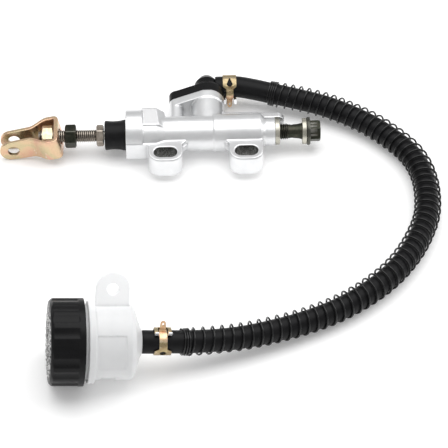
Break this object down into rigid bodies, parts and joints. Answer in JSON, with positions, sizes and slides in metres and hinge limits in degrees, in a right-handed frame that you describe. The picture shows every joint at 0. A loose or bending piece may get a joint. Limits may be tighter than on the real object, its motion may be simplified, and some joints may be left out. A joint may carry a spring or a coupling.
{
  "type": "brake master cylinder",
  "caption": "Rear brake master cylinder with slotted mounting lugs, pushrod and clevis, banjo outlet, spring-guarded feed hose and remote round fluid reservoir with screw cap.",
  "frame": {"origin": "midway between the two mounting slots, on the flat mounting face of the lugs", "axes": "+X along the bore from the clevis towards the banjo outlet, +Z along the mounting slots' bolts, +Y from the lugs towards the inlet elbow"},
  "size_m": [0.2706, 0.254, 0.0596],
  "materials": {
    "cast_aluminium": "satin as-cast with machined faces",
    "anodised_aluminium": "smooth anodised",
    "black_rubber": "matte",
    "steel_wire": "drawn wire",
    "bright_zinc": "bright zinc plate",
    "spring_steel": "phosphated",
    "bronze_zinc": "passivated zinc plate",
    "olive_zinc": "dark olive zinc plate",
    "pale_gold_zinc": "pale gold zinc plate",
    "yellow_zinc": "iridescent yellow zinc plate",
    "black_plastic": "moulded, fine texture",
    "crush_washer_alloy": "pressed metal washer",
    "black_wire": "gloss black coated wire",
    "translucent_plastic": "milky translucent moulding",
    "white_plastic": "moulded"
  },
  "bodies": {
    "root": {"cylinder_body": "cast_aluminium", "return_spring": "steel_wire", "stop_washer": "bright_zinc", "circlip": "spring_steel", "dust_boot": "black_rubber", "inlet_elbow": "black_plastic", "inlet_oring": "black_rubber", "elbow_screw": "bright_zinc", "inner_crush_washer": "crush_washer_alloy", "feed_hose": "black_rubber", "spring_guard": "black_wire", "inlet_hose_clamp": "yellow_zinc", "reservoir_hose_clamp": "yellow_zinc", "reservoir": "translucent_plastic", "reservoir_tab": "translucent_plastic"},
    "piston_body": {"piston": "anodised_aluminium", "primary_cup": "black_rubber", "secondary_cup": "black_rubber"},
    "pushrod_body": {"pushrod": "bronze_zinc"},
    "clevis_body": {"clevis": "yellow_zinc"},
    "jam_nut_body": {"jam_nut": "olive_zinc"},
    "clevis_nut_body": {"clevis_nut": "pale_gold_zinc"},
    "outer_washer_body": {"outer_crush_washer": "crush_washer_alloy"},
    "banjo_bolt_body": {"banjo_bolt": "olive_zinc"},
    "diaphragm_body": {"diaphragm": "black_rubber"},
    "plate_body": {"diaphragm_plate": "white_plastic"},
    "cap_body": {"reservoir_cap": "black_plastic"}
  },
  "joints": [
    {"name": "piston_stroke", "type": "slide", "parent": "root", "child": "piston_body", "axis": [1, 0, 0], "range_m": [0, 0.008], "stiffness_N_per_m": 800, "springref_m": -0.01, "deforming": ["return_spring", "dust_boot"]},
    {"name": "pushrod_tilt", "type": "hinge", "parent": "piston_body", "child": "pushrod_body", "pos_m": [-0.037, 0.02, 0.0092], "axis": [0, 1, 0], "range_deg": [-3, 3]},
    {"name": "clevis_adjust", "type": "slide", "parent": "pushrod_body", "child": "clevis_body", "axis": [1, 0, 0], "range_m": [-0.002, 0.002]},
    {"name": "jam_nut_turn", "type": "hinge", "parent": "clevis_body", "child": "jam_nut_body", "pos_m": [-0.0837, 0.02, 0.0092], "axis": [1, 0, 0], "range_deg": [-577, 577]},
    {"name": "clevis_nut_turn", "type": "hinge", "parent": "clevis_body", "child": "clevis_nut_body", "pos_m": [-0.0979, 0.02, 0.0092], "axis": [1, 0, 0], "range_deg": [-577, 577]},
    {"name": "banjo_back_out", "type": "slide", "parent": "root", "child": "outer_washer_body", "axis": [1, 0, 0], "range_m": [-0.002, 0.01]},
    {"name": "banjo_turn", "type": "hinge", "parent": "outer_washer_body", "child": "banjo_bolt_body", "pos_m": [0.06, 0.02, 0.0092], "axis": [1, 0, 0], "range_deg": [-577, 2881]},
    {"name": "lid_lift", "type": "slide", "parent": "root", "child": "diaphragm_body", "axis": [-0.9927, -0.0607, 0.1045], "range_m": [0, 0.03]},
    {"name": "cap_unscrew", "type": "slide", "parent": "diaphragm_body", "child": "plate_body", "axis": [-0.9927, -0.0607, 0.1045], "range_m": [0, 0.009]},
    {"name": "cap_turn", "type": "hinge", "parent": "plate_body", "child": "cap_body", "pos_m": [-0.0945, -0.16, 0.0226], "axis": [-0.9927, -0.0607, 0.1045], "range_deg": [0, 1081]}
  ],
  "couplings": [
    {"joint": "jam_nut_turn", "follows": "clevis_adjust", "rad_per_m": 5026.5},
    {"joint": "clevis_nut_turn", "follows": "clevis_adjust", "rad_per_m": 5026.5},
    {"joint": "banjo_turn", "follows": "banjo_back_out", "rad_per_m": 5026.5},
    {"joint": "cap_turn", "follows": "cap_unscrew", "rad_per_m": 2094.4}
  ]
}
